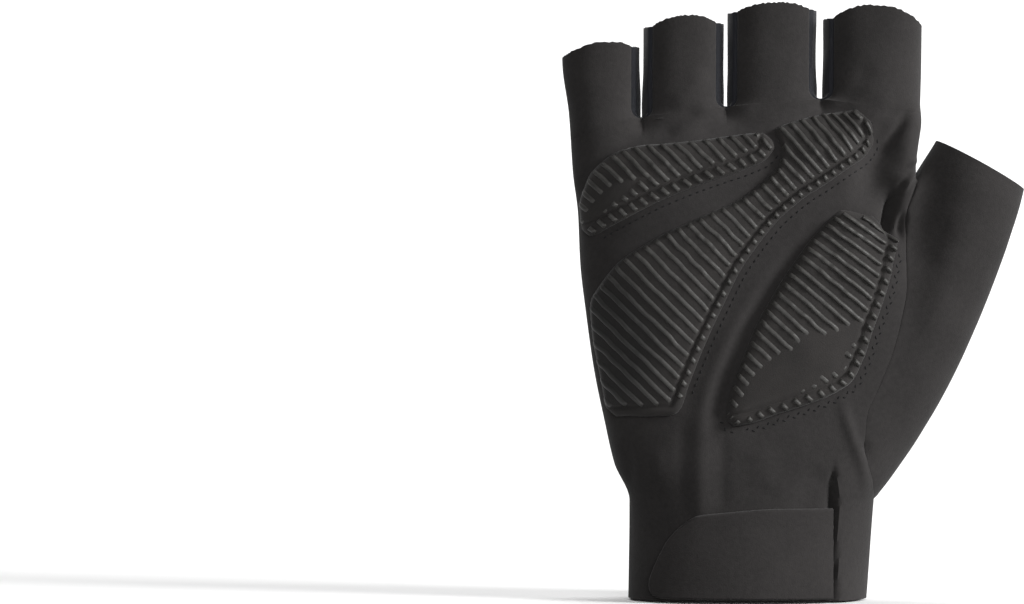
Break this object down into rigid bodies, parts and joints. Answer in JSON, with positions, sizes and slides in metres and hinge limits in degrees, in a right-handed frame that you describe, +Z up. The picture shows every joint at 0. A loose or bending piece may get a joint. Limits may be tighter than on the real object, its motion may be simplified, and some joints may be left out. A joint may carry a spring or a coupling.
{
  "type": "cycling glove",
  "caption": "Fingerless cycling glove for the right hand, held open as worn, with ribbed gel palm pads, stretch back, suede thumb and a closing strap at the cuff.",
  "frame": {"origin": "middle of the cuff's opening, on the cuff's edge", "axes": "+Z up along the fingers, +X towards the thumb, the palm faces -Y"},
  "size_m": [0.1307, 0.0429, 0.1687],
  "materials": {
    "suede": "matt synthetic suede",
    "jersey": "smooth stretch jersey",
    "sidewall": "thin stretch knit",
    "pad": "suede over gel with glossy silicone ribs",
    "strap": "matt suede tab"
  },
  "bodies": {
    "root": {"palm_panel": "suede", "back_panel": "jersey", "thumb_panel": "suede", "fourchette_pinky_ring": "sidewall", "fourchette_ring_middle": "sidewall", "fourchette_middle_index": "sidewall", "finger_pad": "pad", "heel_pad": "pad", "thumb_pad": "pad", "closing_strap": "strap"}
  },
  "joints": []
}
